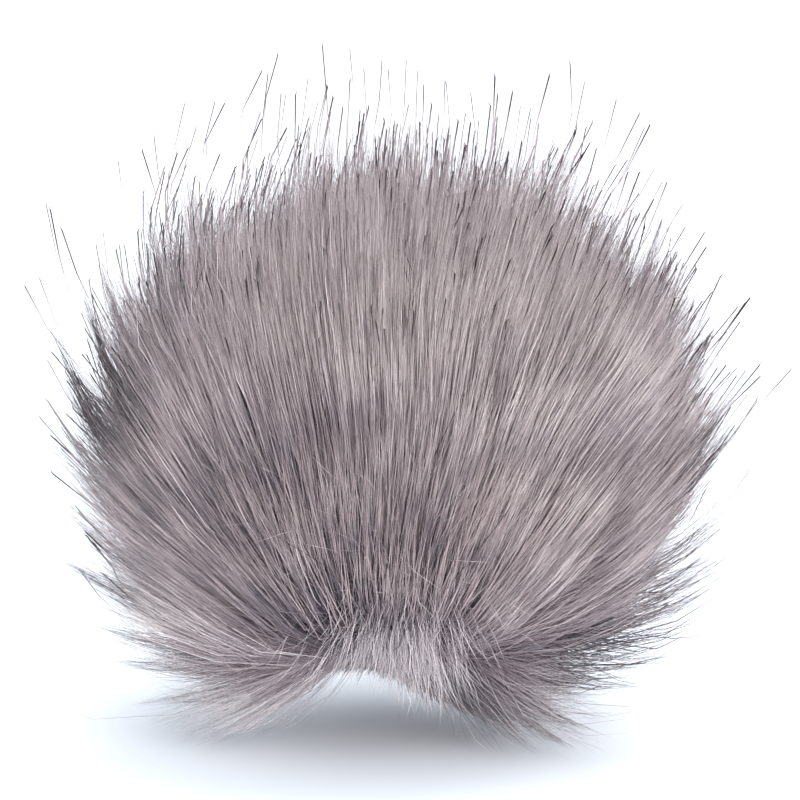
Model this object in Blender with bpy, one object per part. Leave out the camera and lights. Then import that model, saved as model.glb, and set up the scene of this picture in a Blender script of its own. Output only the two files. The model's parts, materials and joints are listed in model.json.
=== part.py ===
"""A pom pom: a round of long-pile fur cloth, drawn together at its edge and filled to a ball.

The backing is a ball with a small flat base where its edge is gathered. The pile stands out of it in
locks, which part at the gather and are combed away from it, up and round the ball. The lowest locks are
shorter, and their ends stand level on the floor, but for an arch of short locks under the gather.

Units are metres and +Z is up. The gather is turned towards -Y, the side that the pom pom is seen from.
The origin is on the floor, under the middle of the pom pom.
"""

import math
import random
from collections import namedtuple

import bmesh
import bpy
from mathutils import Matrix, Vector, noise

# The ball of backing
BALL_RADIUS = 0.026
BALL_HEIGHT = 0.041  # its centre, above the floor
GATHER_TURN = math.radians(36)  # the gather, from straight down towards -Y
GATHER_PULL = 0.42  # how far the drawn edge crowds the pile together there
GATHER_REACH = math.radians(35)

# The locks: one on each cell of the ball but for the flat base
CELLS_ACROSS = 7  # on each of the six sides of the ball
BASE_CELLS_ACROSS = 3
CELLS_TURN = math.radians(31)  # of the cells round the gather's axis
CELL_UNEVENNESS = 0.26  # of a cell
ROOT_GAP = 0.0009  # between the roots of two locks

Level = namedtuple("Level", "reach width")
LOCK_LEVELS = (Level(reach=0.36, width=1.0), Level(reach=0.71, width=0.62))
FOOT_LEVEL = Level(reach=1.0, width=0.42)
FAN_ANGLE = math.radians(70)  # nearer the gather than this, locks are slimmer, because they fan out
FAN_SLIMMING = 0.5

# The pile
PILE_SIDE = 0.0318  # how far the locks stand out of the ball at its sides
PILE_TOP = 0.045
PILE_UNEVENNESS = 0.12
COMB_LEAN = math.radians(54)  # how far the pile's ends are combed round the ball, at the gather
COMB_CURVE = 1.25
COMB_EASE = 0.5  # how much less the pile under the ball is combed, which its weight holds down
SWAY = 0.0045  # how far the ends wander
SWAY_SCALE = 0.028

# Where it stands
SPLAY = 0.12  # how much the floor spreads the locks
SPLAY_HEIGHT = 0.014
PRESS_HEIGHT = 0.004  # below this, the floor presses the pile flatter
END_HEIGHT = 0.0007  # a lock that comes as low as this ends on the floor
ARCH_RISE = 0.009  # the gap under the gather, between the two front tufts
ARCH_HALF_WIDTH = 0.018
ARCH_DEPTH = 0.012

SEED = 7
FUR_COLOUR = (0.31, 0.26, 0.28, 1.0)
FUR_ROUGHNESS = 0.85

BALL_CENTRE = Vector((0, 0, BALL_HEIGHT))
GATHER_AXIS = Vector((0, -math.sin(GATHER_TURN), -math.cos(GATHER_TURN)))


def fur_material():
    made = bpy.data.materials.new("fur_pile")
    made.use_nodes = True
    shader = made.node_tree.nodes["Principled BSDF"]
    shader.inputs["Base Color"].default_value = FUR_COLOUR
    shader.inputs["Roughness"].default_value = FUR_ROUGHNESS
    shader.inputs["Metallic"].default_value = 0.0
    made.diffuse_color = FUR_COLOUR
    return made


def turned_from_gather(direction, angle):
    """The direction at this angle from the gather's axis, on the same side of it."""
    side = (direction - direction.project(GATHER_AXIS)).normalized()
    return GATHER_AXIS * math.cos(angle) + side * math.sin(angle)


def drawn_in(direction):
    """The direction of a place on the cloth once its edge is drawn together at the gather."""
    angle = direction.angle(GATHER_AXIS)
    pulled = angle * (1 - GATHER_PULL * math.exp(-((angle / GATHER_REACH) ** 2)))
    return turned_from_gather(direction, pulled)


def combed(point):
    """Where a point of the pile lies, from where it is while the pile stands straight out of the ball."""
    out = point - BALL_CENTRE
    height = (out.length - BALL_RADIUS) / PILE_TOP
    if height <= 0:
        return point.copy()
    angle = out.angle(GATHER_AXIS)
    downward = max(0.0, -out.normalized().z)
    lean = COMB_LEAN * (1 + math.cos(angle)) / 2 * (1 - COMB_EASE * downward**2)
    place = BALL_CENTRE + turned_from_gather(out, angle + lean * height**COMB_CURVE) * out.length
    place += noise.noise_vector(place / SWAY_SCALE) * SWAY * height
    low = max(0.0, 1 - place.z / SPLAY_HEIGHT)
    spread = 1 + SPLAY * min(low, 1.5) ** 2
    if place.z < PRESS_HEIGHT:
        place.z = PRESS_HEIGHT * math.exp(place.z / PRESS_HEIGHT - 1)
    return Vector((place.x * spread, place.y * spread, place.z))


def lowest_hair(place):
    """The height of the lowest hair here: next to the floor, or the arch under the gather."""
    across = max(0.0, 1 - (place.x / ARCH_HALF_WIDTH) ** 2)
    forward = min(1.0, max(0.0, 0.5 - place.y / ARCH_DEPTH / 2))
    return max(END_HEIGHT, ARCH_RISE * across * forward)


def lock_reach(direction, unevenness):
    """How far from the ball's centre a lock ends, and whether it ends on the floor."""
    full = combed(BALL_CENTRE + direction * (BALL_RADIUS + PILE_SIDE)) - BALL_CENTRE
    upward = max(0.0, full.normalized().z)
    pile = PILE_SIDE + (PILE_TOP - PILE_SIDE) * upward**2
    reach = BALL_RADIUS + pile * unevenness

    def above_lowest(radius):
        place = combed(BALL_CENTRE + direction * radius)
        return place.z - lowest_hair(place)

    if above_lowest(reach) > 0:
        return reach, False
    short, long = BALL_RADIUS, reach
    for _ in range(40):
        middle = (short + long) / 2
        if above_lowest(middle) > 0:
            short = middle
        else:
            long = middle
    on_floor = lowest_hair(combed(BALL_CENTRE + direction * short)) <= END_HEIGHT
    return short, on_floor


def backing_ball(bm, chance):
    """The ball of backing, with the flat base of the gather. Returns the cells that carry locks."""
    bmesh.ops.create_cube(bm, size=2)
    bmesh.ops.subdivide_edges(bm, edges=bm.edges[:], cuts=CELLS_ACROSS - 1, use_grid_fill=True)
    base_half_width = BASE_CELLS_ACROSS / CELLS_ACROSS
    base = []
    for face in bm.faces:
        middle = face.calc_center_median()
        if middle.z < -0.99 and max(abs(middle.x), abs(middle.y)) < base_half_width:
            base.append(face)
    base_corners = {vert for face in base for vert in face.verts}
    turn = Matrix.Rotation(-GATHER_TURN, 3, "X") @ Matrix.Rotation(CELLS_TURN, 3, "Z")
    cell = math.pi / 2 / CELLS_ACROSS
    for vert in bm.verts:
        even = Vector([math.tan(c * math.pi / 4) for c in vert.co]).normalized()
        if vert not in base_corners:
            even += noise.random_unit_vector(size=3) * CELL_UNEVENNESS * cell * chance.random()
        vert.co = BALL_CENTRE + drawn_in(turn @ even.normalized()) * BALL_RADIUS
    depth = min((vert.co - BALL_CENTRE).dot(GATHER_AXIS) for vert in base_corners)
    for vert in base_corners:
        vert.co -= GATHER_AXIS * ((vert.co - BALL_CENTRE).dot(GATHER_AXIS) - depth)
    bmesh.ops.dissolve_faces(bm, faces=base)
    return [face for face in bm.faces if len(face.verts) == 4]


def spread_round(face, direction, radius, width):
    """Moves a lock's face out to this distance from the ball's centre, and scales it about its middle."""
    for vert in face.verts:
        edge = (vert.co - BALL_CENTRE).normalized()
        edge = (direction + (edge - direction) * width).normalized()
        vert.co = BALL_CENTRE + edge * radius


def extruded(bm, face):
    return bmesh.ops.extrude_discrete_faces(bm, faces=[face])["faces"][0]


def straight_lock(bm, face, unevenness):
    """A lock of pile, straight out of its cell. Returns its end face if that stands on the floor."""
    direction = (face.calc_center_median() - BALL_CENTRE).normalized()
    reach, on_floor = lock_reach(direction, unevenness)
    levels = LOCK_LEVELS + ((FOOT_LEVEL,) if on_floor else ())
    fan = min(1.0, direction.angle(GATHER_AXIS) / FAN_ANGLE)
    slim = 1 - FAN_SLIMMING * (1 - fan)
    before = 1.0
    for level in levels:
        face = extruded(bm, face)
        radius = BALL_RADIUS + (reach - BALL_RADIUS) * level.reach
        spread_round(face, direction, radius, level.width * slim / before)
        before = level.width * slim
    if on_floor:
        return face
    tip = bmesh.ops.poke(bm, faces=[face])["verts"][0]
    tip.co = BALL_CENTRE + direction * reach
    return None


def fur_ball():
    """The whole pom pom: the backing with its locks, combed, standing on the floor."""
    chance = random.Random(SEED)
    noise.seed_set(SEED)
    bm = bmesh.new()
    cells = backing_ball(bm, chance)
    bmesh.ops.inset_individual(bm, faces=cells, thickness=ROOT_GAP / 2, use_even_offset=True)
    feet = []
    for cell in cells:
        unevenness = 1 + PILE_UNEVENNESS * chance.uniform(-1, 1)
        foot = straight_lock(bm, cell, unevenness)
        if foot:
            feet.append(foot)
    for vert in bm.verts:
        vert.co = combed(vert.co)
    for foot in feet:
        for vert in foot.verts:
            vert.co.z = 0
    across = [vert.co.x for vert in bm.verts]
    along = [vert.co.y for vert in bm.verts]
    middle = Vector((min(across) + max(across), min(along) + max(along), 0)) / 2
    bmesh.ops.translate(bm, verts=bm.verts, vec=-middle)
    bmesh.ops.recalc_face_normals(bm, faces=bm.faces)
    mesh = bpy.data.meshes.new("fur_ball")
    bm.to_mesh(mesh)
    bm.free()
    mesh.shade_smooth()
    mesh.set_sharp_from_angle(angle=math.radians(70))
    mesh.materials.append(fur_material())
    return bpy.data.objects.new("fur_ball", mesh)


for old in list(bpy.data.objects):
    bpy.data.objects.remove(old)
pom_pom = bpy.data.collections.new("pom_pom")
bpy.context.scene.collection.children.link(pom_pom)
pom_pom.objects.link(fur_ball())
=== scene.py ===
import json
import math
from collections import namedtuple

import bmesh
import bpy
import numpy as np
from mathutils import Matrix, Vector, kdtree, noise


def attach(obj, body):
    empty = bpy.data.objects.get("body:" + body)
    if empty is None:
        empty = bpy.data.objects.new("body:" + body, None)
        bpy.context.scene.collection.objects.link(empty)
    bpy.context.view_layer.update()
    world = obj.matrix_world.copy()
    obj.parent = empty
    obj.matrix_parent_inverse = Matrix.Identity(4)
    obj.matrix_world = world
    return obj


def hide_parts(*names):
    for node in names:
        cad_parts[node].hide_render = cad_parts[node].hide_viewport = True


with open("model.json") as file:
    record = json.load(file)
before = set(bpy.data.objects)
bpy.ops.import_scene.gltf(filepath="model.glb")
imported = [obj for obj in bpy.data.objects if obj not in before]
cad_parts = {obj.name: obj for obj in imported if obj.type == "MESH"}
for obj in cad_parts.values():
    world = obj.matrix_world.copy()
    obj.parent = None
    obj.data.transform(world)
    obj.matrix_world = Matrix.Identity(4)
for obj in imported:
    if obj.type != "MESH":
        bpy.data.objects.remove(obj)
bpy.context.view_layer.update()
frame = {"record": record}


# ---------------------------------------------------------------------------------------------------
# The camera. The pom pom is seen from a little above its middle through a long lens, and fills the
# frame up to its loose hairs.
SEEN_FROM_ABOVE = math.radians(10.4)
SEEN_WIDTH = 0.1333
SEEN_MIDDLE = Vector((-0.0008, 0, 0.058))
CAMERA_DISTANCE = 1.2
SENSOR_WIDTH = 36

camera = bpy.data.objects.new("camera", bpy.data.cameras.new("camera"))
bpy.context.scene.collection.objects.link(camera)
camera.data.sensor_width = SENSOR_WIDTH
camera.data.lens = SENSOR_WIDTH * CAMERA_DISTANCE / SEEN_WIDTH
camera.data.clip_end = 10
towards = Vector((0, -math.cos(SEEN_FROM_ABOVE), math.sin(SEEN_FROM_ABOVE)))
camera.location = SEEN_MIDDLE + towards * CAMERA_DISTANCE
camera.rotation_euler = (math.radians(90) - SEEN_FROM_ABOVE, 0, 0)
bpy.context.scene.camera = camera


# ---------------------------------------------------------------------------------------------------
# The backing: the knitted side of the fur cloth, drawn up round its filling to a ball. Its edge is
# gathered in pleats to a small flat place, which is turned down and to the front.
BALL_RADIUS = 0.026
BALL_HEIGHT = 0.041
BASE_DEPTH = 0.024425  # the flat place, from the ball's middle
BASE_RADIUS = 0.0068
PLEATS = 22
PLEAT_DEPTH = 0.0005
PLEAT_REACH = BASE_RADIUS * 1.6
PLEAT_START = 0.001  # they run out towards the middle of the flat place
PLEAT_PROUD = 0.0004  # and stand no further past it than this
RIB_SCALE = 20 / 0.0157  # of a wave texture, which turns 20 radians in its unit: a rib every 0.25 mm

gather = next(m for m in frame["record"]["mounts"] if m["name"] == "gathered_base")
GATHER_AXIS = Vector(gather["axis"])
BALL_MIDDLE = Vector(gather["pos_m"]) - GATHER_AXIS * BASE_DEPTH


def linear(shade):
    """The linear colour of an sRGB hex value."""
    parts = [int(shade[i:i + 2], 16) / 255 for i in (0, 2, 4)]
    return (*[c / 12.92 if c <= 0.04045 else ((c + 0.055) / 1.055) ** 2.4 for c in parts], 1.0)


def add_node(tree, kind, settings={}, inputs={}, links=()):
    """A node with its settings, its inputs' values, and links (output socket, input name)."""
    node = tree.nodes.new(kind)
    for name, value in settings.items():
        setattr(node, name, value)
    for name, value in inputs.items():
        node.inputs[name].default_value = value
    for output, name in links:
        tree.links.new(output, node.inputs[name])
    return node


def piece_from(name, mesh, material):
    piece = bpy.data.objects.new(name, mesh)
    bpy.context.scene.collection.objects.link(piece)
    mesh.materials.append(material)
    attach(piece, "root")
    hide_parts("fur_ball")
    return piece


# Polyester knit, in fine ribs of about 0.25 mm: matt, and about as pale as the hair that stands in it, so
# that it doesn't show between the hairs.
knit = bpy.data.materials.new("knitted backing")
knit.use_nodes = True
tree = knit.node_tree
shader = tree.nodes["Principled BSDF"]
shader.inputs["Roughness"].default_value = 0.95
shader.inputs["Specular IOR Level"].default_value = 0.2
where = add_node(tree, "ShaderNodeTexCoord")
ribs = add_node(
    tree, "ShaderNodeTexWave", {"bands_direction": "X"},
    {"Scale": RIB_SCALE, "Distortion": 2.0},
    [(where.outputs["Object"], "Vector")],
)
shade = add_node(
    tree, "ShaderNodeMix", {"data_type": "RGBA"},
    {"A": linear("80777B"), "B": linear("9C9297")}, [(ribs.outputs["Fac"], "Factor")],
)
tree.links.new(shade.outputs["Result"], shader.inputs["Base Color"])

bm = bmesh.new()
bmesh.ops.create_uvsphere(bm, u_segments=PLEATS * 4, v_segments=40, radius=BALL_RADIUS)
for vert in bm.verts:
    edge = math.hypot(vert.co.x, vert.co.y)
    if vert.co.z > 0 and edge < PLEAT_REACH:
        near = 1 - edge / PLEAT_REACH
        around = math.atan2(vert.co.y, vert.co.x) * PLEATS
        vert.co.z -= PLEAT_DEPTH * (1 + math.cos(around)) * near ** 0.5 * min(1, edge / PLEAT_START)
        vert.co.z = min(vert.co.z, BASE_DEPTH + PLEAT_PROUD)
turn = GATHER_AXIS.to_track_quat("Z", "Y").to_matrix().to_4x4()
bmesh.ops.transform(bm, matrix=Matrix.Translation(BALL_MIDDLE) @ turn, verts=bm.verts)
mesh = bpy.data.meshes.new("backing")
bm.to_mesh(mesh)
bm.free()
mesh.shade_smooth()
backing = piece_from("backing", mesh, knit)


# ---------------------------------------------------------------------------------------------------
# The underfur: the short fine crimped fibres of the pile, close together all over the cloth. They
# fill the ball up to a few millimetres below the ends of the long hair.
GATHER_MIDDLE, GATHER_HALF = -0.07, 0.11  # the drawn edge closes to a short line across the gather
GATHER_FOLLOW = 0.35
GATHER_PULL = 0.42  # and crowds the pile together near it
GATHER_REACH = math.radians(35)
BARE_ANGLE = math.radians(8)  # the pleats inside the edge carry no hair

# How far round the ball a hair's end lies from its root, away from the gather, by where it is rooted
SWING_ROOTS = np.radians([0, 15, 40, 70, 100, 130, 160, 180])
SWINGS = np.radians([50, 50, 44, 34, 23, 13, 5, 0])
SWING_EASE = 0.35  # less under the ball, which its weight holds down
ROOT_RISE = 0.30  # the part of its length over which a hair stands up from the cloth
END_LIE = 0.42  # and the part over which it lies as its end does

# How much the ends point straight away from the gather, and not round the ball, by how high they are
RAY_HEIGHTS = np.radians([-40, -14, 0, 20, 35, 60, 90])
RAYS = np.array([0.35, 0.40, 0.55, 0.85, 0.95, 0.95, 1.0])
# and times this, by how far to the left or the right they are, in the lower half and near the top
RAY_SIDES = (-0.95, -0.75, -0.5, 0.1, 0.5, 0.7)
RAY_MORE_LOW = (1.0, 0.95, 0.85, 1.0, 1.05, 1.0)
RAY_MORE_HIGH = (0.9, 0.7, 0.42, 1.0, 1.12, 0.95)
RAY_HIGH = math.radians(30)  # the near top starts here

# How far from the ball's middle the dense pile ends on the left and the right, by how high the end lies
HEIGHTS = np.radians([-90, -60, -46, -31, -20, 0, 18, 36, 60, 90])
LEFT_REACHES = np.array([41, 46, 48.5, 50, 52, 54.5, 58, 58, 58.5, 57.5]) / 1000
RIGHT_REACHES = np.array([41, 45, 43.5, 37, 38, 46, 51.5, 56, 58, 57.5]) / 1000
# Where it stands out further: this way from the ball's middle, by this much, over this angle
LEFT_FOOT, RIGHT_FOOT = (-36, -10, -33), (28, -18, -34)
BUMPS = [(LEFT_FOOT, 0.0050, 15), (RIGHT_FOOT, 0.0065, 15)]
# Painted light and shade, with some of the fur's own tone: paler or darker this way, by this much shade, over
# this angle
# painted shade in the hollows, low in front and on the right foot; painted light low at the left and the
# right, which the ball shades
PAINTED_LIGHT_PATCHES = [
    ((-24, -44, 6), -0.40, 26), ((-50, -16, 12), -0.28, 22), ((-36, -16, -18), 0.40, 20),
    ((-28, -16, -31), -0.30, 12), ((2, -50, -1), -0.48, 19), ((31, -38, 15), 0.20, 17),
    ((28, -42, -4), -0.16, 9), ((26, -38, -14), 0.34, 14), ((18, -30, -30), -0.42, 15),
    ((28, -18, -34), -0.30, 15),
]
FARTHEST_ASIDE, FARTHEST_UP = 0.069, 0.083  # the longest guard hairs
PARTING = -0.13  # where the pile under the gather parts to the two feet
PARTING_PUSH = 0.50
PARTING_WIDTH = 0.42
PARTING_BACK = 0.6  # it grows less towards the back, to none here

PILE_LENGTH = 0.032
SWAY = 0.0026  # how far the ends wander
SWAY_SCALE = 0.028
SPLAY = 0.06  # how much the floor spreads what comes near it
SPLAY_HEIGHT = 0.014
SPLAY_MOST = 1.5
PRESS_HEIGHT = 0.004  # below this, the floor presses the pile flatter
END_HEIGHT = 0.0007  # a hair that comes as low as this ends there
FLOOR_GAP = 0.00005  # and no corner of one is nearer to the floor than this
ARCH_MIDDLE = -0.0090  # the gap under the gather, between the two front tufts, which runs on to the back
ARCH_HALF_WIDTH = 0.030
ARCH_RISE = 0.0125  # under the ball's middle
ARCH_SLOPE = 0.19
ARCH_STEEP = 1.15  # it is level over its middle, because its sides rise past its height
ARCH_LEAST = 0.001  # a hair that ends this much higher than on the floor ends at the arch
FLOOR_RAGGED, ARCH_RAGGED = (-0.15, 0.07), (0.50, 1.25)  # how unevenly the hair ends at them
ROOT_STEPS = 4  # of those that a hair is followed in

GATHER_WAY = np.array(GATHER_AXIS)
ACROSS = np.array([1.0, 0.0, 0.0])
MIDDLE = np.array(BALL_MIDDLE)
ROOT_RADIUS = BALL_RADIUS * 0.97
ALONG = np.arange(25) / 24  # a hair is followed in steps

noise.seed_set(4)


def unit(rows):
    return rows / np.linalg.norm(rows, axis=-1, keepdims=True)


def drawn_edge(ways):
    """The place of the drawn edge that is nearest to each direction from the ball's middle."""
    aside = (ways[..., :1] - GATHER_MIDDLE) * GATHER_FOLLOW
    return unit(GATHER_WAY + ACROSS * (GATHER_MIDDLE + np.clip(aside, -GATHER_HALF, GATHER_HALF)))


def from_gather(ways):
    """The angle between these directions and the nearest place of the drawn edge."""
    return np.arccos(np.clip((ways * drawn_edge(ways)).sum(axis=-1), -1, 1))


def spread_roots(count, chance, unevenness=0.5):
    """Directions of roots spread over the ball, closer together at the gather, none in its pleats."""
    index = np.arange(count) + 0.5
    high = 1 - 2 * index / count
    around = index * math.pi * (3 - math.sqrt(5))
    flat = np.sqrt(1 - high**2)
    ways = np.stack([flat * np.cos(around), flat * np.sin(around), high], axis=1)
    ways = unit(ways + chance.normal(size=ways.shape) * unevenness * math.sqrt(math.pi / count))
    edge = drawn_edge(ways)
    angle = from_gather(ways)
    side = unit(ways - edge * (ways * edge).sum(axis=1, keepdims=True))
    angle = angle * (1 - GATHER_PULL * np.exp(-((angle / GATHER_REACH) ** 2)))
    ways = edge * np.cos(angle)[:, None] + side * np.sin(angle)[:, None]
    return ways[angle > BARE_ANGLE]


def dense_reach(ways):
    """How far from the ball's middle the dense pile ends, these ways."""
    high = np.arcsin(np.clip(ways[:, 2], -1, 1))
    rightward = 0.5 + 0.5 * ways[:, 0] / np.maximum(np.cos(high), 0.01)
    left, right = np.interp(high, HEIGHTS, LEFT_REACHES), np.interp(high, HEIGHTS, RIGHT_REACHES)
    reach = left + (right - left) * rightward
    for bump, more, spread in BUMPS:
        apart = np.degrees(np.arccos(np.clip(ways @ unit(np.array(bump, float)), -1, 1)))
        reach = reach + more * np.exp(-((apart / spread) ** 2))
    return reach


def painted_light_and_shade(ways):
    """How much paler or darker than the rest the fur is painted these ways from the ball's middle: painted
    light and shade, with some of its own tone.
    """
    shade = np.zeros(len(ways))
    for patch, more, spread in PAINTED_LIGHT_PATCHES:
        apart = np.degrees(np.arccos(np.clip(ways @ unit(np.array(patch, float)), -1, 1)))
        shade = shade + more * np.exp(-((apart / spread) ** 2))
    return shade


def away_from_gather(ways):
    """The way round the ball that leads away from the gather, from here."""
    edge = drawn_edge(ways)
    return unit(ways * (ways * edge).sum(axis=1, keepdims=True) - edge)


def parted(ways):
    """Pushes the low ends in front apart, to the left and the right foot."""
    aside = ways[:, 0] - PARTING
    low = np.clip(-ways[:, 2], 0, 1) * np.clip(PARTING_BACK - ways[:, 1], 0, 1)
    push = PARTING_PUSH * low * np.exp(-((aside / PARTING_WIDTH) ** 2))
    return unit(ways + ACROSS * (np.sign(aside) * push)[:, None])


def bent(start, first, second, end):
    """The places along hairs that leave start towards first, and come to their end from second."""
    done = ALONG[None, :, None]
    return (
        start[:, None] * (1 - done) ** 3 + first[:, None] * 3 * done * (1 - done) ** 2
        + second[:, None] * 3 * done**2 * (1 - done) + end[:, None] * done**3
    )


def grown(ways, out_to, swing_more=0.0, sideways=0.0):
    """The places along hairs rooted at ways, from the ball's middle.

    out_to is how far past the dense pile each hair reaches. A hair stands up at its root, leans over away
    from the gather, and runs on nearly straight.
    """
    down = np.maximum(0, -ways[:, 2])
    swing = np.interp(from_gather(ways), SWING_ROOTS, SWINGS) * (1 - SWING_EASE * down**2) + swing_more
    away = away_from_gather(ways)
    turned = away * np.cos(sideways)[:, None] + np.cross(ways, away) * np.sin(sideways)[:, None]
    end_way = parted(ways * np.cos(swing)[:, None] + turned * np.sin(swing)[:, None])
    start = ways * ROOT_RADIUS
    high = np.arcsin(np.clip(end_way[:, 2], -1, 1))
    reach = np.minimum(dense_reach(end_way) + out_to, np.minimum(FARTHEST_ASIDE / np.cos(high), FARTHEST_UP))
    end = end_way * reach[:, None]
    near_top = np.clip(high / RAY_HIGH, 0, 1)
    more = np.interp(end_way[:, 0], RAY_SIDES, RAY_MORE_LOW) * (1 - near_top)
    more = more + np.interp(end_way[:, 0], RAY_SIDES, RAY_MORE_HIGH) * near_top
    ray = np.interp(high, RAY_HEIGHTS, RAYS) * more
    straight = unit(end - drawn_edge(end_way) * ROOT_RADIUS)
    lie = unit(straight * ray[:, None] + away_from_gather(end_way) * (1 - ray)[:, None])
    length = np.linalg.norm(end - start, axis=1)[:, None]
    return bent(start, start + ways * length * ROOT_RISE, end - lie * length * END_LIE, end)


def swayed(places, out):
    """Bends the whole pile a little this way and that, and more the further out of the ball it is."""
    height = np.maximum(0, out - BALL_RADIUS) / PILE_LENGTH
    points = (places + np.array([0, 0, BALL_HEIGHT])).reshape(-1, 3) / SWAY_SCALE
    drift = np.array([noise.noise_vector(point) for point in points]).reshape(places.shape)
    return places + drift * SWAY * height[..., None]


def on_the_floor(places):
    """Spreads and presses what comes near the floor, so that nothing goes through it."""
    spread = 1 + SPLAY * np.clip(1 - places[..., 2:] / SPLAY_HEIGHT, 0, SPLAY_MOST) ** 2
    high = places[..., 2:]
    pressed = PRESS_HEIGHT * np.exp(np.minimum(high, PRESS_HEIGHT) / PRESS_HEIGHT - 1)
    return np.concatenate([places[..., :2] * spread, np.where(high < PRESS_HEIGHT, pressed, high)], axis=-1)


def lowest_hair(places):
    """The height where hair ends: next to the floor, or at the arch under the gather."""
    aside = 1 - np.abs(places[..., 0] - ARCH_MIDDLE) / ARCH_HALF_WIDTH
    rise = np.maximum(0, ARCH_RISE - ARCH_SLOPE * places[..., 1])
    return np.maximum(END_HEIGHT, rise * np.clip(aside * ARCH_STEEP, 0, 1))


def ended(places, lengths, chance, ragged=ARCH_RAGGED):
    """Ends each hair at the floor or the arch, and keeps its places at these shares of its length."""
    count, steps = places.shape[:2]
    under = places[..., 2] < lowest_hair(places)
    under[:, :ROOT_STEPS] = False  # near its root a hair is on its way out, whatever lies under it
    meets = under.any(axis=1)
    last = np.where(meets, under.argmax(axis=1), steps - 1)
    run = np.linalg.norm(np.diff(places, axis=1), axis=2)
    run = np.concatenate([np.zeros((count, 1)), np.cumsum(run, axis=1)], axis=1)
    whole = run[np.arange(count), last]
    at_arch = meets & (places[np.arange(count), last, 2] > END_HEIGHT + ARCH_LEAST)
    whole = np.where(meets, whole * (1 + chance.uniform(*FLOOR_RAGGED, count)), whole)
    whole = np.where(at_arch, whole * chance.uniform(*ragged, count), whole)
    row = np.arange(count)
    kept = []
    for share in lengths:
        wanted = np.minimum(whole * share, run[:, -1])
        low = np.clip((run < wanted[:, None]).sum(axis=1) - 1, 0, steps - 2)
        part = (wanted - run[row, low]) / (run[row, low + 1] - run[row, low])
        kept.append(places[row, low] + (places[row, low + 1] - places[row, low]) * part[:, None])
    return on_the_floor(np.stack(kept, axis=1))


KINK_LONG, KINK_SHORT = 1.1, 2.3  # half waves along a hair
KINK_SHORT_SHARE = 0.5


def kinked(places, size, chance):
    """Bends each hair a little by itself."""
    done = np.linspace(0, 1, places.shape[1])[None, :, None]
    one = chance.normal(size=(len(places), 1, 3)) * np.sin(done * math.pi * KINK_LONG)
    two = chance.normal(size=(len(places), 1, 3)) * np.sin(done * math.pi * KINK_SHORT)
    return places + (one + two * KINK_SHORT_SHARE) * size


LOCK_COUNT, TUFT_COUNT = 560, 7000
SHARED_SCALE, SHARED_SHADE_SCALE = 3.1, 3.4  # of the noise that neighbours share, to the ball's radius
SHARED_AT, SHARED_SHADE_AT = Vector((5, 0, 2)), Vector((0, 7, 1))
SHARED_OUT, SHARED_TURN, SHARED_SHADE = 2.2, 3.0, 2.0


def bunches(count, chance, out, swing, side, wide=0.0):
    """Roots with a reach, a swing, a sideways turn and a shade of their own.

    wide is how much of these neighbours share.
    """
    ways = spread_roots(count, chance)
    shared = np.array([noise.noise_vector(Vector(way) * SHARED_SCALE + SHARED_AT) for way in ways]) * wide
    shade = np.array([noise.noise(Vector(way) * SHARED_SHADE_SCALE + SHARED_SHADE_AT) for way in ways]) * wide
    own = chance.normal(size=(4, len(ways)))
    return {
        "at": ways,
        "out": out * (own[0] + SHARED_OUT * shared[:, 0]),
        "swing": swing * (own[1] + SHARED_TURN * shared[:, 1]),
        "side": side * (own[2] + SHARED_TURN * shared[:, 2]),
        "shade": own[3] + SHARED_SHADE * shade,
    }


# The long hair of every piece stands in these tufts, and they in these locks
chance = np.random.default_rng(11)
LOCKS = bunches(LOCK_COUNT, chance, out=0.0026, swing=math.radians(1.0), side=math.radians(1.7), wide=1.0)
TUFTS = bunches(TUFT_COUNT, chance, out=0.0009, swing=math.radians(0.8), side=math.radians(1.6))


MAP_EDGE = 0.01  # kept free at both ends of the map
MAP_HAIR = 0.002  # the width of a hair on it
MAP_CAP = 0.004  # and the depth of its root's cap


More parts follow.
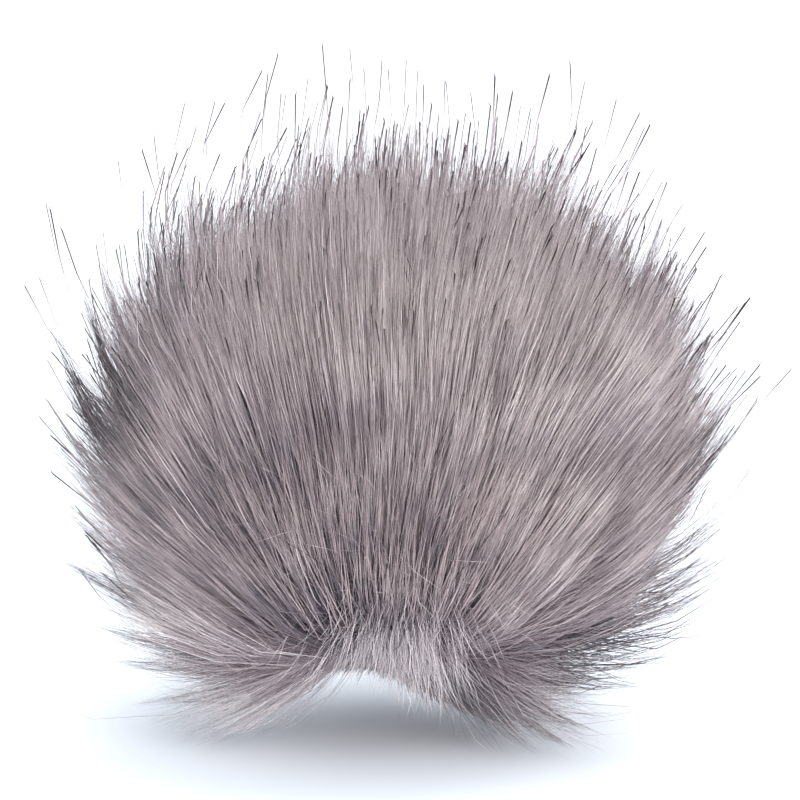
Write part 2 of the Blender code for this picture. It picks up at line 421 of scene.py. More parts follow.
def strands(name, places, width, shade, lengths, taper, chance):
    """One mesh of closed three-sided hairs. On its map, U is a hair's shade and V runs root to end."""
    count, levels = places.shape[:2]
    along = unit(np.gradient(places, axis=1))
    aside = np.cross(along.mean(axis=1), unit(chance.normal(size=(count, 3))))[:, None]
    aside = unit(aside - along * (aside * along).sum(axis=2, keepdims=True))
    other = np.cross(along, aside)
    thick = (width[:, None] / 2 * np.array(taper)[None])[..., None]
    corners = []
    for turn in (0, 2 * math.pi / 3, 4 * math.pi / 3):
        corners.append(places + (aside * math.cos(turn) + other * math.sin(turn)) * thick)
    rings = np.stack(corners, axis=2)[:, :-1].reshape(count, -1, 3)
    verts = np.concatenate([rings, places[:, -1:]], axis=1)
    verts[..., 2] = np.maximum(verts[..., 2], FLOOR_GAP)
    end = 3 * (levels - 1)
    faces = []
    across = []
    for low in range(0, end - 3, 3):
        for a, b in ((0, 1), (1, 2), (2, 0)):
            faces.append((low + a, low + b, low + b + 3, low + a + 3))
            across.append((0, 1, 1, 0))
    for a, b in ((0, 1), (1, 2), (2, 0)):
        faces.append((end - 3 + a, end - 3 + b, end))
        across.append((0, 1, 0.5))
    faces.append((0, 2, 1))
    across.append((0, 1, 0.5))
    up = np.append(np.repeat(lengths[:-1], 3), 1.0) * (1 - 2 * MAP_EDGE) + MAP_EDGE
    v = np.concatenate([up[list(face)] for face in faces])
    v[-1] += MAP_CAP
    u = np.concatenate(across) * MAP_HAIR
    sizes = np.tile([len(face) for face in faces], count)
    order = np.concatenate(faces)[None] + np.arange(count)[:, None] * (end + 1)
    mesh = bpy.data.meshes.new(name)
    mesh.vertices.add(count * (end + 1))
    mesh.vertices.foreach_set("co", verts.ravel())
    mesh.loops.add(order.size)
    mesh.loops.foreach_set("vertex_index", order.ravel())
    mesh.polygons.add(len(sizes))
    mesh.polygons.foreach_set("loop_start", np.cumsum(sizes) - sizes)
    mesh.update(calc_edges=True)
    spots = np.stack([shade[:, None] + u[None], np.broadcast_to(v, (count, len(v)))], axis=2)
    mesh.uv_layers.new(name="OFBake").data.foreach_set("uv", spots.ravel())
    mesh.shade_smooth()
    return mesh


DARKEST, PALEST = 0.02, 0.97  # a hair and its width stay on the map between them


def shades(count, chance, spread, bunched=0.0):
    """A shade for each hair, where it has its place on the map."""
    return np.clip(0.5 + bunched + spread * chance.normal(size=count), DARKEST, PALEST)


def set_stops(ramp, stops):
    """Gives a colour ramp its stops, each a place and an sRGB hex value."""
    elements = ramp.color_ramp.elements
    while len(elements) < len(stops):
        elements.new(0.5)
    for element, (place, shade) in zip(elements, stops):
        element.position = place
        element.color = linear(shade)


END_FADE = 0.10  # of a hair's length, over which it changes to the colour of its end
FIBRE_IOR = 1.5  # acrylic and polyester


def fibre(name, across, root, ends, end_from, roughness, glint, uneven=0.0, lower="DAD4D7"):
    """Pile fibre: its shade comes from U of the map, and it changes towards its root and its end with V.

    root and lower darken it at its root and a third of the way up: painted shade in the depth of the pile.
    The ends have their own shades by U, and uneven lets some hairs change to them earlier than others.
    """
    made = bpy.data.materials.new(name)
    made.use_nodes = True
    tree = made.node_tree
    shader = tree.nodes["Principled BSDF"]
    shader.inputs["Roughness"].default_value = roughness
    shader.inputs["Specular IOR Level"].default_value = glint
    shader.inputs["IOR"].default_value = FIBRE_IOR
    spot = add_node(tree, "ShaderNodeUVMap", {"uv_map": "OFBake"})
    split = add_node(tree, "ShaderNodeSeparateXYZ", {}, {}, [(spot.outputs["UV"], "Vector")])
    own = add_node(tree, "ShaderNodeValToRGB", {}, {}, [(split.outputs["X"], "Fac")])
    set_stops(own, across)
    # painted shade: darker towards the root, deep in the pile
    deep = add_node(tree, "ShaderNodeValToRGB", {}, {}, [(split.outputs["Y"], "Fac")])
    set_stops(deep, [(0.0, root), (0.35, lower), (0.65, "EDEAEC"), (0.88, "FFFFFF")])
    body = add_node(
        tree, "ShaderNodeMix", {"data_type": "RGBA", "blend_type": "MULTIPLY"}, {"Factor": 1.0},
        [(own.outputs["Color"], "A"), (deep.outputs["Color"], "B")],
    )
    done = add_node(
        tree, "ShaderNodeMath", {"operation": "MULTIPLY_ADD"}, {1: uneven},
        [(split.outputs["X"], 0), (split.outputs["Y"], 2)],
    )
    reach = add_node(
        tree, "ShaderNodeMapRange", {},
        {"From Min": end_from + uneven / 2, "From Max": end_from + uneven / 2 + END_FADE},
        [(done.outputs["Value"], "Value")],
    )
    tip = add_node(tree, "ShaderNodeValToRGB", {}, {}, [(split.outputs["X"], "Fac")])
    set_stops(tip, ends)
    tipped = add_node(
        tree, "ShaderNodeMix", {"data_type": "RGBA"}, {},
        [(body.outputs["Result"], "A"), (tip.outputs["Color"], "B"), (reach.outputs["Result"], "Factor")],
    )
    tree.links.new(tipped.outputs["Result"], shader.inputs["Base Color"])
    return made


UNDERFUR_COUNT = 8000
UNDERFUR_SHORT, UNDERFUR_RAGGED = 0.007, (0.4, 1.6)  # how far inside the dense reach it ends
UNDERFUR_WIDTH, UNDERFUR_WIDTHS = 0.00028, (0.8, 1.2)
UNDERFUR_KINK = 0.0007
UNDERFUR_SHADES = 0.14  # how much the shades of its hairs differ
UNDERFUR_LENGTHS, UNDERFUR_TAPER = (0.0, 0.55, 1.0), (1.0, 1.0, 0.0)
ROOT_UNEVENNESS = 0.8
UNDERFUR_ASTRAY = math.radians(11)  # it keeps out of the locks, and fills the room between them
UNDERFUR_CLOSE = math.radians(33)  # it is closer together round the gather, where the long hair fans out
UNDERFUR_CLOSER = 3  # times as close, on top of the rest
HAIR_SWING = math.radians(1.5)  # how far single hairs stray up or down from the way that the rest goes

# Crimped polyester: rough and all but matt, so that the depth of the pile looks soft.
underfur_fibre = fibre(
    "crimped polyester fibre", [(0.0, "7B7174"), (0.5, "978C8F"), (1.0, "B1A7A9")],
    "D4CDD0", [(0.0, "978A8C"), (1.0, "AA9EA0")], 0.6, 0.8, 0.25,
)
chance = np.random.default_rng(21)
roots = spread_roots(UNDERFUR_COUNT, chance, ROOT_UNEVENNESS)
more = spread_roots(UNDERFUR_COUNT * UNDERFUR_CLOSER, chance, ROOT_UNEVENNESS)
roots = np.concatenate([roots, more[from_gather(more) < UNDERFUR_CLOSE]])
count = len(roots)
places = grown(
    roots, -UNDERFUR_SHORT * chance.uniform(*UNDERFUR_RAGGED, count),
    HAIR_SWING * chance.normal(size=count), UNDERFUR_ASTRAY * chance.normal(size=count),
)
places = MIDDLE + swayed(places, np.linalg.norm(places, axis=2))
places = ended(kinked(places, UNDERFUR_KINK, chance), UNDERFUR_LENGTHS, chance)
# painted light and shade by where each hair ends, with some of the fur's own tone
shade = shades(count, chance, UNDERFUR_SHADES, painted_light_and_shade(unit(places[:, -2] - MIDDLE)))
width = UNDERFUR_WIDTH * chance.uniform(*UNDERFUR_WIDTHS, count)
mesh = strands("underfur", places, width, shade, UNDERFUR_LENGTHS, UNDERFUR_TAPER, chance)
piece_from("underfur", mesh, underfur_fibre)


# ---------------------------------------------------------------------------------------------------
# The pile: long straight acrylic hairs, thicker at the middle and drawn out to fine ends. They lie
# in tufts and locks, combed away from the gather, up and round the ball. Those rooted near the
# gather curve most, so they have more lengths to them than those of the crown.
PILE_COUNT = 40500
PILE_WIDTH, PILE_WIDTHS = 0.00012, (0.7, 1.3)
PILE_KINK = 0.0003
PILE_SHADES = 0.16
PILE_SHORT, PILE_RAGGED = 0.003, 0.0018  # how far inside the dense reach it ends, and how unevenly
PILE_LONG_SHARE, PILE_LONG = 0.12, 0.004  # some hairs are this much longer
# painted highlights: a few hairs are coloured nearly white, as glints
PAINTED_GLINT_SHARE, PAINTED_GLINT_SHADE = 0.02, 0.94  # the share of nearly white hairs, and their shade
SIDE_FROM, SIDE_OVER = 0.5, 0.3  # where the sides start, and over how much they come in
SIDE_HOLD = 0.6  # how much more the tufts of the sides are drawn together at their ends
HAIR_SIDE = math.radians(2.4)  # how far single hairs stray sideways from their tuft
HAIR_FAN, HAIR_FAN_REACH = 1.3, math.radians(32)  # and how much more near the gather, where they fan out
LOCK_HOLD, TUFT_HOLD = 0.06, 0.15  # how far the tufts and the hairs are drawn together at their ends
LOCK_SHADE, TUFT_SHADE = 0.04, 0.05  # how much their shades differ
FRONT_THIRDS = (-0.30, 0.20)
FRONT_TO = math.radians(68)  # the front pile's roots, from the gather
FRONT_LENGTHS = (0.0, 0.28, 0.54, 0.78, 1.0)
FRONT_TAPER = (0.8, 1.0, 1.0, 0.75, 0.0)
SIDE_TO = math.radians(100)  # and those of the sides
SIDE_LENGTHS = (0.0, 0.42, 0.74, 1.0)
SIDE_TAPER = (0.8, 1.0, 0.8, 0.0)
CROWN_LENGTHS = (0.0, 0.6, 1.0)
CROWN_TAPER = (0.8, 1.0, 0.0)

# Combed acrylic: smooth enough to shine a little along its length, painted darker in its depth as shade, with
# fine ends.
pile_fibre = fibre(
    "combed acrylic fibre",
    [(0.0, "4C4850"), (0.2, "777178"), (0.5, "968C8F"), (0.8, "AAA1A3"), (1.0, "F4EFEF")],
    "CDC5C8", [(0.0, "8C8082"), (0.5, "ADA2A3"), (1.0, "D8D0D0")], 0.7, 0.45, 0.4,
)


def at_side(ways):
    """How far towards the left or the right side these directions are, from 0 to 1."""
    return np.clip((np.abs(ways[:, 0]) - SIDE_FROM) / SIDE_OVER, 0, 1)


def nearest(points, centres):
    """For each point, the number of the centre nearest to it."""
    tree = kdtree.KDTree(len(centres))
    for index, centre in enumerate(centres):
        tree.insert(centre, index)
    tree.balance()
    return np.array([tree.find(point)[1] for point in points])


def in_tufts(roots, out_to, lock_hold, tuft_hold, chance):
    """The places along hairs that draw together into tufts, and these into locks; their tufts and locks."""
    tuft = nearest(roots, TUFTS["at"])
    lock = nearest(TUFTS["at"], LOCKS["at"])[tuft]
    fan = 1 + HAIR_FAN * np.exp(-((from_gather(roots) / HAIR_FAN_REACH) ** 2))
    places = grown(
        LOCKS["at"][lock],
        out_to + LOCKS["out"][lock] + TUFTS["out"][tuft],
        LOCKS["swing"][lock] + TUFTS["swing"][tuft] + HAIR_SWING * chance.normal(size=len(roots)),
        LOCKS["side"][lock] + TUFTS["side"][tuft] + HAIR_SIDE * fan * chance.normal(size=len(roots)),
    )
    out = np.linalg.norm(places, axis=2)
    drawn = (ALONG + 2 * ALONG**5)[None, :, None]  # slowly at first, and most near their ends
    drawn = drawn * (1 + SIDE_HOLD * at_side(roots))[:, None, None]
    way = places / out[..., None]
    way = way + (TUFTS["at"][tuft] - LOCKS["at"][lock])[:, None] * (1 - lock_hold * drawn)
    way = way + (roots - TUFTS["at"][tuft])[:, None] * (1 - tuft_hold * drawn)
    places = unit(way) * out[..., None]
    return MIDDLE + swayed(places, out), tuft, lock


chance = np.random.default_rng(31)
roots = spread_roots(PILE_COUNT, chance, ROOT_UNEVENNESS)
out_to = -PILE_SHORT + PILE_RAGGED * chance.normal(size=len(roots))
longer = chance.random(len(roots)) < PILE_LONG_SHARE
out_to = out_to + np.where(longer, chance.exponential(PILE_LONG, len(roots)), 0)
across = np.digitize(roots[:, 0], FRONT_THIRDS)
zone = np.digitize(from_gather(roots), (FRONT_TO, SIDE_TO))
for name, mine, lengths, taper in (
    ("front_pile_left", (zone == 0) & (across == 0), FRONT_LENGTHS, FRONT_TAPER),
    ("front_pile_middle", (zone == 0) & (across == 1), FRONT_LENGTHS, FRONT_TAPER),
    ("front_pile_right", (zone == 0) & (across == 2), FRONT_LENGTHS, FRONT_TAPER),
    ("side_pile_left", (zone == 1) & (roots[:, 0] < 0), SIDE_LENGTHS, SIDE_TAPER),
    ("side_pile_right", (zone == 1) & (roots[:, 0] >= 0), SIDE_LENGTHS, SIDE_TAPER),
    ("crown_pile", zone == 2, CROWN_LENGTHS, CROWN_TAPER),
):
    places, tuft, lock = in_tufts(roots[mine], out_to[mine], LOCK_HOLD, TUFT_HOLD, chance)
    places = ended(kinked(places, PILE_KINK, chance), lengths, chance)
    bunched = LOCK_SHADE * LOCKS["shade"][lock] + TUFT_SHADE * TUFTS["shade"][tuft]
    # painted light and shade by where each hair ends, with some of the fur's own tone
    bunched = bunched + painted_light_and_shade(unit(places[:, -2] - MIDDLE))
    shade = shades(len(places), chance, PILE_SHADES, bunched)
    # painted highlights: a few hairs nearly white, as glints
    shade = np.where(chance.random(len(places)) < PAINTED_GLINT_SHARE, PAINTED_GLINT_SHADE, shade)
    width = PILE_WIDTH * chance.uniform(*PILE_WIDTHS, len(places))
    piece_from(name, strands(name, places, width, shade, lengths, taper, chance), pile_fibre)


# ---------------------------------------------------------------------------------------------------
# The hair over the gather: where the cloth's edge is drawn together its pile is short and loose, and painted
# pale, as the light from the front falls on it.
# It stands out and down from there, side by side, and hides the pleats and the roots of the rest.
FALL_COUNT = 3200
FALL_POOL = 160000  # roots all over the ball, of which few are close enough to the gather
FALL_ABOVE = 0.99  # and only those above its edge carry this hair
FALL_TO = math.radians(56)
FALL_SPREAD = 0.17
FALL_LENGTH = 0.0115
FALL_MORE = 0.0135  # for those rooted highest
FALL_LENGTHS = (0.35, 1.3)
FALL_OUTWARD, FALL_ASIDE = 0.25, 1.2  # how much it leans out over its root, and to its own side
FALL_LOOSE = 0.20
FALL_RAGGED = (0.45, 1.4)
FALL_UPWARD = 0.5  # the share that turns up with the rest of the pile, in front of it
FALL_FORWARD, FALL_RISE, FALL_SPREAD_UP = np.array([0, -0.9, 0]), (0.2, 1.5), 2  # the way that it takes
FALL_WIDTH, FALL_WIDTHS = 0.00009, (0.6, 1.5)
FALL_KINK = 0.0009
FALL_SHADES = 0.22

# Fine acrylic, painted nearly white: painted light from the front, which no other hair shades here.
fall_fibre = fibre(
    "pale fibre at the gather", [(0.0, "80777D"), (0.5, "AFA5A9"), (1.0, "FDF9FA")],
    "F0EAED", [(0.0, "8E878C"), (1.0, "DDD6D8")], 0.6, 0.45, 0.45, lower="F6F2F4",
)
chance = np.random.default_rng(51)
roots = spread_roots(FALL_POOL, chance, 1.0)
above = roots[:, 2] > (drawn_edge(roots) * FALL_ABOVE)[:, 2]
close = np.abs(roots[:, 0] - GATHER_MIDDLE) < FALL_SPREAD * np.abs(chance.normal(size=len(roots)))
roots = roots[(from_gather(roots) < FALL_TO) & above & close]
roots = roots[chance.permutation(len(roots))[:FALL_COUNT]]
count = len(roots)
far = from_gather(roots) / FALL_TO
aside = (roots[:, 0] - GATHER_MIDDLE) * FALL_ASIDE
aim = GATHER_WAY + roots * FALL_OUTWARD + ACROSS * aside[:, None]
aim = aim + chance.normal(size=(count, 3)) * FALL_LOOSE
upward = FALL_FORWARD + np.outer(chance.uniform(*FALL_RISE, count), [0, 0, 1])
upward = upward + ACROSS * aside[:, None] * FALL_SPREAD_UP
upward = upward + chance.normal(size=(count, 3)) * FALL_LOOSE
aim = np.where((chance.random(count) < FALL_UPWARD)[:, None], upward, aim)
length = (FALL_LENGTH + FALL_MORE * far) * chance.uniform(*FALL_LENGTHS, count)
done = ALONG[None, :, None]
places = MIDDLE + roots[:, None] * ROOT_RADIUS + unit(aim)[:, None] * length[:, None, None] * done
places = ended(kinked(places, FALL_KINK, chance), SIDE_LENGTHS, chance, FALL_RAGGED)
shade = shades(count, chance, FALL_SHADES)
width = FALL_WIDTH * chance.uniform(*FALL_WIDTHS, count)
mesh = strands("gather_hair", places, width, shade, SIDE_LENGTHS, SIDE_TAPER, chance)
piece_from("gather_hair", mesh, fall_fibre)


# ---------------------------------------------------------------------------------------------------
# The wisps: fine hairs of the same fibre rooted round the gather, which spread over both feet and past
# them, and make the pile's lower edge thin and soft. They are darker on the right foot.
WISP_COUNT = 750
WISPS_LEFT = 0.7  # the share of them on the left foot
WISP_SPREAD = 0.13
WISP_ROOTS = (0.15, 0.4)  # of the way from the gather to their ends
WISP_PAST, WISP_RAGGED = 0.0050, (-1.2, 1.0)  # how far past the dense reach they end
WISP_RISE = 0.003
WISP_LOWEST = 0.0012
WISP_STEPS = [0, 9, 17, 24]
WISP_WIDTH, WISP_WIDTHS = 0.00008, (0.6, 1.2)
WISP_KINK = 0.0007
WISP_SHADES, WISP_LEFT_SHADE, WISP_RIGHT_SHADE = 0.2, -0.06, -0.40

chance = np.random.default_rng(71)
left = chance.random(WISP_COUNT) < WISPS_LEFT
aim = np.where(left[:, None], unit(np.array(LEFT_FOOT, float)), unit(np.array(RIGHT_FOOT, float)))
aim = unit(aim + chance.normal(size=(WISP_COUNT, 3)) * WISP_SPREAD)
edge = drawn_edge(aim)
start = unit(edge + (aim - edge) * chance.uniform(*WISP_ROOTS, WISP_COUNT)[:, None])
end = aim * (dense_reach(aim) + WISP_PAST * chance.uniform(*WISP_RAGGED, WISP_COUNT))[:, None]
middle = (start * ROOT_RADIUS + end) / 2 + start * WISP_RISE
done = ALONG[None, :, None]
places = MIDDLE + (
    start[:, None] * ROOT_RADIUS * (1 - done) ** 2 + middle[:, None] * 2 * done * (1 - done)
    + end[:, None] * done**2
)
low = np.minimum(places[..., 2].min(axis=1), WISP_LOWEST)
places[..., 2] += (WISP_LOWEST - low)[:, None] * ALONG[None] ** 2
places = on_the_floor(kinked(places, WISP_KINK, chance))[:, WISP_STEPS]
shade = shades(WISP_COUNT, chance, WISP_SHADES, np.where(left, WISP_LEFT_SHADE, WISP_RIGHT_SHADE))
width = WISP_WIDTH * chance.uniform(*WISP_WIDTHS, WISP_COUNT)
mesh = strands("foot_wisps", places, width, shade, SIDE_LENGTHS, SIDE_TAPER, chance)
piece_from("foot_wisps", mesh, fall_fibre)


# ---------------------------------------------------------------------------------------------------
# The parted tufts: at the sides and under the ball the pile parts into slim tufts that stand off it
# and run out to points, with the light behind them. Some are painted darker than the pile, as shade with the
# light behind them, and some paler.
# across, deep and high give a tuft's end in mm, and lean is its turn from upright in degrees. It has so
# many hairs, this much paler or darker than the middle shade, which spread over so many mm. thick is how
# many times thicker than usual they are: the last tufts are a few thick long hairs each.
Tuft = namedtuple("Tuft", "across deep high lean hairs shade spread thick", defaults=[1.0])
PARTED_TUFTS = [
    Tuft(-59.5, -6, 73.5, -20, 120, -0.30, 0.9), Tuft(-54.0, -6, 78.5, -16, 110, -0.26, 0.9),
    Tuft(-51.0, -6, 84.0, -14, 80, 0.1, 1.2), Tuft(-61.0, -6, 62.0, -28, 60, 0.1, 1.2),
    Tuft(-59.0, -6, 52.0, -36, 70, 0.2, 1.4), Tuft(-58.0, -6, 42.0, -46, 60, 0.1, 1.4),
    Tuft(-59.0, -6, 33.0, -56, 90, -0.05, 1.1), Tuft(-53.0, -6, 21.5, -66, 80, 0.2, 1.4),
    Tuft(-49.0, -6, 15.0, -80, 70, 0.2, 1.4), Tuft(-44.0, -6, 7.5, -95, 60, 0.2, 1.2),
    Tuft(-44.0, -6, 98.0, -14, 70, 0.0, 1.1), Tuft(-36.5, -6, 102.0, -9, 70, 0.1, 1.1),
    Tuft(54.5, -6, 60.5, 30, 110, -0.30, 0.9), Tuft(57.5, -6, 58.0, 39, 80, -0.30, 0.9),
    Tuft(58.0, -6, 43.5, 48, 60, 0.15, 2.2), Tuft(59.0, -6, 37.0, 54, 45, 0.15, 2.2),
    Tuft(56.0, -6, 31.0, 55, 26, -0.3, 1.6), Tuft(51.0, -6, 26.5, 62, 45, 0.2, 2.2),
    Tuft(48.5, -6, 20.5, 70, 36, 0.2, 2.2), Tuft(42.0, -6, 15.0, 80, 30, -0.2, 1.6),
    Tuft(40.5, -6, 10.5, 90, 30, -0.3, 1.6), Tuft(50.0, -6, 70.0, 26, 80, -0.1, 1.1),
    Tuft(47.0, -6, 79.0, 21, 80, -0.1, 1.1), Tuft(43.5, -6, 94.0, 18, 70, 0.0, 1.1),
    Tuft(30.0, -4, 2.0, 121, 110, -0.32, 1.2), Tuft(25.5, -14, 1.2, 137, 130, -0.36, 1.2),
    Tuft(27.0, -9, 3.5, 118, 80, -0.30, 1.2), Tuft(18.5, -8, 2.5, 135, 90, -0.32, 1.3),
    Tuft(15.5, -12, 3.5, 140, 70, -0.15, 1.4), Tuft(11.0, -25, 1.2, 152, 45, -0.25, 1.8),
    Tuft(8.0, -17, 3.5, 150, 60, -0.25, 2.2), Tuft(33.0, -6, 10.0, 102, 50, -0.1, 1.5),
    Tuft(3.0, -20, 4.0, 165, 40, -0.20, 2.5), Tuft(7.0, -23, 1.8, 156, 50, -0.28, 2.2),
    Tuft(16.0, -21, 1.5, 146, 50, -0.30, 2.0), Tuft(21.0, -18, 1.2, 140, 50, -0.30, 1.6),
    Tuft(54.0, -10, 36.5, 48, 7, -0.45, 1.2), Tuft(55.0, -10, 28.0, 56, 9, -0.45, 2.0),
    Tuft(52.0, -8, 22.0, 64, 10, -0.40, 2.2), Tuft(47.5, -8, 15.5, 76, 12, -0.40, 2.4),
    Tuft(50.0, -6, 26.0, 66, 26, 0.15, 3.0), Tuft(56.5, -8, 33.0, 58, 14, 0.0, 3.0),
    Tuft(57.0, -10, 40.5, 42, 2, -0.50, 0.3, 2.4), Tuft(57.0, -10, 30.5, 55, 3, -0.50, 0.9, 2.2),
    Tuft(54.5, -9, 24.5, 64, 4, -0.50, 1.0, 2.0), Tuft(52.0, -8, 20.0, 70, 3, -0.45, 1.2, 1.6),
    Tuft(48.0, -8, 15.5, 84, 4, -0.45, 1.2, 1.6), Tuft(61.0, -8, 47.5, 44, 4, -0.50, 1.2, 2.0),
]
TUFT_ROOT, TUFT_ROOT_SPREAD = 0.52, 0.10  # of the way from the gather to its end
TUFT_RUN, TUFT_BACK = 0.015, (-0.15, 1.0)  # its hairs end over this length, from this part of it to that
TUFT_CLOSE = 0.3  # how close together they are at its end
TUFT_DEEPER, TUFT_LIE_SPREAD = 0.05, 0.05
TUFT_WIDTH, TUFT_WIDTHS = 0.00012, (0.6, 1.2)
TUFT_KINK = 0.0005
TUFT_SHADES = 0.16

# The same acrylic, drawn together: from nearly black to pale by the tuft, the dark ones painted shade, as of
# tufts with the light behind them.
tuft_fibre = fibre(
    "tufted acrylic fibre", [(0.0, "37353C"), (0.5, "7B757A"), (1.0, "B9AFB1")],
    "B4ACB2", [(0.0, "2B282D"), (0.5, "776F73"), (1.0, "C0B7B8")], 0.6, 0.45, 0.35,
)

chance = np.random.default_rng(91)
hairs = [one.hairs for one in PARTED_TUFTS]
column = {name: np.repeat([getattr(one, name) for one in PARTED_TUFTS], hairs) for name in Tuft._fields}
count = len(column["hairs"])
tip = np.stack([column["across"], column["deep"], column["high"]], axis=1) / 1000 - MIDDLE
lean = np.radians(column["lean"])
lie = np.stack([np.sin(lean), np.full(count, TUFT_DEEPER), np.cos(lean)], axis=1)
lie = unit(lie + TUFT_LIE_SPREAD * chance.normal(size=(count, 3)))
back = chance.uniform(*TUFT_BACK, count)[:, None]
astray = column["spread"][:, None] / 1000 * (TUFT_CLOSE + np.abs(back))
end = tip - lie * back * TUFT_RUN + chance.normal(size=(count, 3)) * astray
edge = drawn_edge(unit(tip))
root = unit(edge + (unit(tip) - edge) * TUFT_ROOT + TUFT_ROOT_SPREAD * chance.normal(size=(count, 3)))
start = root * ROOT_RADIUS
length = np.linalg.norm(end - start, axis=1)[:, None]
first = root * (ROOT_RADIUS + length * ROOT_RISE)
places = MIDDLE + bent(start, first, end - lie * length * END_LIE, end)
places = ended(kinked(places, TUFT_KINK, chance), SIDE_LENGTHS, chance)
# painted shade: each tuft's hairs darker or paler by its shade column
shade = shades(count, chance, TUFT_SHADES, column["shade"])
width = TUFT_WIDTH * column["thick"] * chance.uniform(*TUFT_WIDTHS, count)
mesh = strands("parted_tufts", places, width, shade, SIDE_LENGTHS, SIDE_TAPER, chance)
piece_from("parted_tufts", mesh, tuft_fibre)


# ---------------------------------------------------------------------------------------------------
# The guard hairs: sparse, longer and stiffer hairs, slightly kinked, with blunt charcoal ends. Most
# stand out past the pile at the top, and few at the sides and below.
GUARD_COUNT = 2500
GUARD_SCATTER = 1.6  # how unevenly they are spread
GUARD_WIDTH, GUARD_WIDTHS = 0.00029, (0.5, 1.1)
GUARD_HEIGHTS = np.radians([-90, -40, 0, 30, 50, 90])
GUARD_REACHES = np.array([2, 3, 4.0, 5.0, 6.5, 7.0]) / 1000
GUARD_OUT, GUARD_FARTHEST, GUARD_SHORT = 1.0, 3.4, 0.002  # times those reaches, less this
GUARD_ROOTS = (-1, -0.4, 0.2, 0.8)
GUARD_CHANCES = (0.06, 0.08, 0.40, 1.0)  # the share that is there, by how high they are rooted
GUARD_AT_SIDE = 0.5  # and more of those at the sides
GUARD_HOLD = 0.1
GUARD_LENGTHS = (0.0, 0.4, 0.74, 0.85, 0.985, 1.0)
GUARD_TAPER = (0.3, 0.3, 0.35, 0.9, 1.0, 0.0)
GUARD_BEND, GUARD_KINK = 0.0004, 0.00018
GUARD_SHADES = 0.25

# A stiffer acrylic, dyed dark at its end alone: matt, so that the ends stay charcoal in the light.
guard_fibre = fibre(
    "charcoal-tipped guard fibre", [(0.0, "8A8185"), (1.0, "B5ACAF")],
    "A8A0A4", [(0.0, "1C1413"), (0.55, "241C1D"), (1.0, "736A6C")], 0.82, 0.6, 0.15, 0.26,
)


def past_the_pile(roots, spread, most, chance):
    """How far past the dense pile each of these hairs reaches: further the higher it is rooted."""
    high = np.arcsin(np.clip(roots[:, 2], -1, 1))
    beyond = np.interp(high, GUARD_HEIGHTS, GUARD_REACHES)
    return np.minimum(chance.exponential(spread, len(roots)), most) * beyond


chance = np.random.default_rng(41)
roots = spread_roots(GUARD_COUNT, chance, GUARD_SCATTER)
share = np.interp(roots[:, 2], GUARD_ROOTS, GUARD_CHANCES) + GUARD_AT_SIDE * at_side(roots)
roots = roots[chance.random(len(roots)) < share]
count = len(roots)
out_to = past_the_pile(roots, GUARD_OUT, GUARD_FARTHEST, chance) - GUARD_SHORT
places, tuft, lock = in_tufts(roots, out_to, GUARD_HOLD, GUARD_HOLD, chance)
places = ended(kinked(places, GUARD_BEND, chance), GUARD_LENGTHS, chance)
places = places + chance.normal(size=places.shape) * GUARD_KINK
shade = shades(count, chance, GUARD_SHADES)
width = GUARD_WIDTH * chance.uniform(*GUARD_WIDTHS, count)
mesh = strands("guard_hairs", places, width, shade, GUARD_LENGTHS, GUARD_TAPER, chance)
piece_from("guard_hairs", mesh, guard_fibre)


# ---------------------------------------------------------------------------------------------------
# The stray hairs: a few dark guard hairs that have come loose and lie across the others.
STRAY_COUNT, STRAY_POOL = 90, 900
STRAY_BACK, STRAY_LOW, STRAY_TO = 0.2, -0.5, math.radians(95)  # none further back, lower or further round
STRAY_ASIDE, STRAY_SWING = 14, 6  # degrees
STRAY_OUT = 0.0015
STRAY_WIDTH, STRAY_WIDTHS = 0.00017, (0.6, 1.3)
STRAY_KINK = 0.0016
STRAY_SHADES = 0.25
STRAY_LENGTHS = (0.0, 0.3, 0.45, 0.6, 0.75, 0.88, 1.0)
STRAY_TAPER = (0.8, 0.9, 1.0, 1.0, 1.0, 0.9, 0.0)

# The guard hairs' fibre, dark over more of its length, so that each shows as one thin dark line.
stray_fibre = fibre(
    "dark stray fibre", [(0.0, "3E3538"), (1.0, "6B6063")],
    "C0B8BA", [(0.0, "221B1C"), (1.0, "3A3133")], 0.45, 0.5, 0.3,
)
chance = np.random.default_rng(82)
roots = spread_roots(STRAY_POOL, chance, GUARD_SCATTER)
roots = roots[(roots[:, 1] < STRAY_BACK) & (roots[:, 2] > STRAY_LOW) & (from_gather(roots) < STRAY_TO)]
roots = roots[chance.permutation(len(roots))[:STRAY_COUNT]]
count = len(roots)
aside = np.radians(chance.normal(0, STRAY_ASIDE, count))
out_to = STRAY_OUT + STRAY_OUT * chance.normal(size=count)
places = grown(roots, out_to, np.radians(chance.normal(0, STRAY_SWING, count)), aside)
places = ended(MIDDLE + kinked(places, STRAY_KINK, chance), STRAY_LENGTHS, chance)
shade = shades(count, chance, STRAY_SHADES)
width = STRAY_WIDTH * chance.uniform(*STRAY_WIDTHS, count)
mesh = strands("stray_hairs", places, width, shade, STRAY_LENGTHS, STRAY_TAPER, chance)
piece_from("stray_hairs", mesh, stray_fibre)


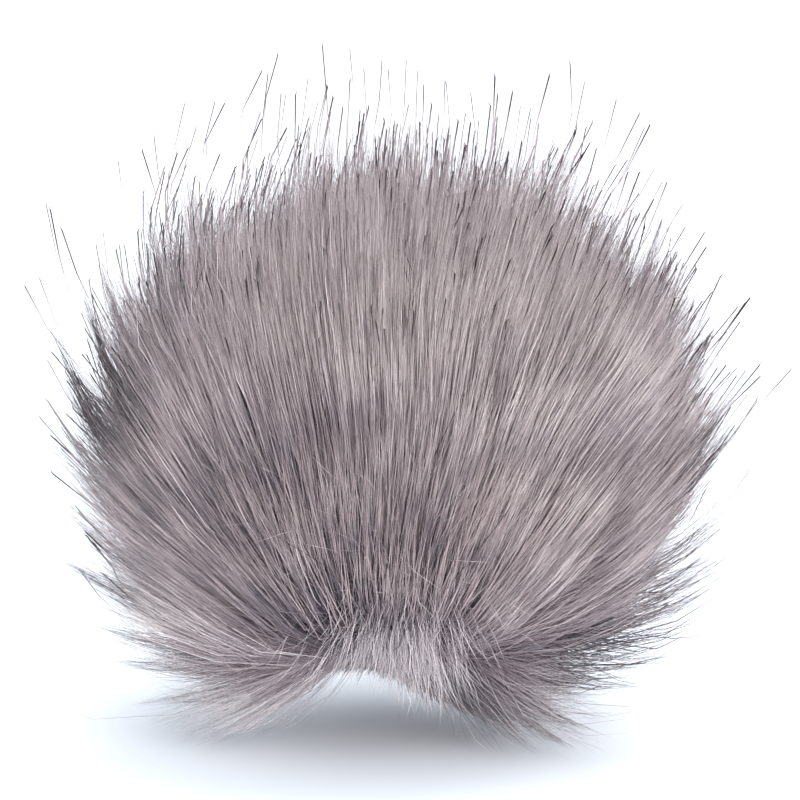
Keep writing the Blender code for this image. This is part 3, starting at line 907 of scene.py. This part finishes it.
# ---------------------------------------------------------------------------------------------------
# The loose ends: very fine hairs that reach a little past the pile everywhere and blur its edge. They
# come loose from the tufts, and most of them stand at the top.
LOOSE_COUNT = 17900
LOOSE_OUT, LOOSE_FARTHEST, LOOSE_SHORT = 0.9, 1.8, 0.001
LOOSE_ROOTS = (-1, -0.1, 0.5, 1)
LOOSE_CHANCES = (0.10, 0.30, 1.0, 1.0)  # the share that is there, by how high they are rooted
LOOSE_AT_SIDE = 0.3
LOOSE_LOCK_HOLD, LOOSE_TUFT_HOLD = 0.1, 0.2
LOOSE_WIDTH, LOOSE_WIDTHS = 0.00010, (0.6, 1.5)
LOOSE_KINK = 0.0007
LOOSE_SHADES = 0.2
LOOSE_LENGTHS, LOOSE_TAPER = (0.0, 0.6, 1.0), (1.0, 1.0, 0.0)

# Worn acrylic, all but matt: greyer than the pile, so that it softens the edge and doesn't glow there.
loose_fibre = fibre(
    "fine loose fibre", [(0.0, "6E6467"), (1.0, "ABA0A2")],
    "A8A0A4", [(0.0, "6C6265"), (1.0, "A89D9F")], 0.5, 0.5, 0.25,
)
chance = np.random.default_rng(61)
roots = spread_roots(LOOSE_COUNT, chance, GUARD_SCATTER)
share = np.interp(roots[:, 2], LOOSE_ROOTS, LOOSE_CHANCES) + LOOSE_AT_SIDE * at_side(roots)
roots = roots[chance.random(len(roots)) < share]
count = len(roots)
out_to = past_the_pile(roots, LOOSE_OUT, LOOSE_FARTHEST, chance) - LOOSE_SHORT
places, tuft, lock = in_tufts(roots, out_to, LOOSE_LOCK_HOLD, LOOSE_TUFT_HOLD, chance)
places = ended(kinked(places, LOOSE_KINK, chance), LOOSE_LENGTHS, chance)
shade = shades(count, chance, LOOSE_SHADES)
width = LOOSE_WIDTH * chance.uniform(*LOOSE_WIDTHS, count)
mesh = strands("loose_hairs", places, width, shade, LOOSE_LENGTHS, LOOSE_TAPER, chance)
piece_from("loose_hairs", mesh, loose_fibre)


# ---------------------------------------------------------------------------------------------------
# The floor and the light: a white sheet, with a painted shadow that makes it a little greyer round the pom
# pom than farther off.
# The light comes softly from all round, and from three large lamps: one above and a little behind, a strong
# one in front, and a weak low one at the front left.
# a painted shadow on the sheet round the pom pom
PAINTED_SHADOW_NEAR, PAINTED_SHADOW_FAR = 0.2, 0.8  # the sheet is greyer up to the one distance, and white past the other
SHEET_HALF = 3
SKY_STRENGTH = 1.40

# Matt paper: it takes the pom pom's soft shadow, and no glints, and its colour carries a painted shadow round
# the pom pom.
sheet = bpy.data.materials.new("white floor")
sheet.use_nodes = True
tree = sheet.node_tree
tree.nodes["Principled BSDF"].inputs["Roughness"].default_value = 0.9
where = add_node(tree, "ShaderNodeTexCoord")
off = add_node(tree, "ShaderNodeVectorMath", {"operation": "LENGTH"}, {}, [(where.outputs["Object"], 0)])
far = add_node(
    tree, "ShaderNodeMapRange", {}, {"From Min": PAINTED_SHADOW_NEAR, "From Max": PAINTED_SHADOW_FAR},
    [(off.outputs["Value"], "Value")],
)
# painted shadow: bluish grey near the pom pom, white farther off
shade = add_node(
    tree, "ShaderNodeMix", {"data_type": "RGBA"},
    {"A": linear("DEE3E9"), "B": linear("F1F2F3")}, [(far.outputs["Result"], "Factor")],
)
tree.links.new(shade.outputs["Result"], tree.nodes["Principled BSDF"].inputs["Base Color"])
bm = bmesh.new()
bmesh.ops.create_grid(bm, x_segments=1, y_segments=1, size=SHEET_HALF)
mesh = bpy.data.meshes.new("floor")
bm.to_mesh(mesh)
bm.free()
floor = bpy.data.objects.new("floor", mesh)
mesh.materials.append(sheet)
bpy.context.scene.collection.objects.link(floor)

world = bpy.data.worlds.new("studio")
bpy.context.scene.world = world
world.use_nodes = True
world.node_tree.nodes["Background"].inputs["Color"].default_value = linear("F2F8FF")
world.node_tree.nodes["Background"].inputs["Strength"].default_value = SKY_STRENGTH


def lamp(name, place, size, power, aim):
    """A square lamp of this size in metres and power in watts, turned to aim."""
    made = bpy.data.objects.new(name, bpy.data.lights.new(name, "AREA"))
    made.data.size = size
    made.data.energy = power
    made.data.color = linear("FFFAF7")[:3]
    made.location = place
    made.rotation_euler = (Vector(aim) - Vector(place)).to_track_quat("-Z", "Y").to_euler()
    bpy.context.scene.collection.objects.link(made)


lamp("top lamp", (0.2, 0.25, 0.9), 0.8, 5, (0, 0, 0.05))
lamp("front lamp", (0.35, -1.2, 0.40), 1.0, 24, (0, 0, 0.03))
lamp("low lamp", (-0.5, -0.9, 0.06), 0.5, 6, (0, 0, 0.02))
bpy.context.scene.view_settings.view_transform = "Standard"
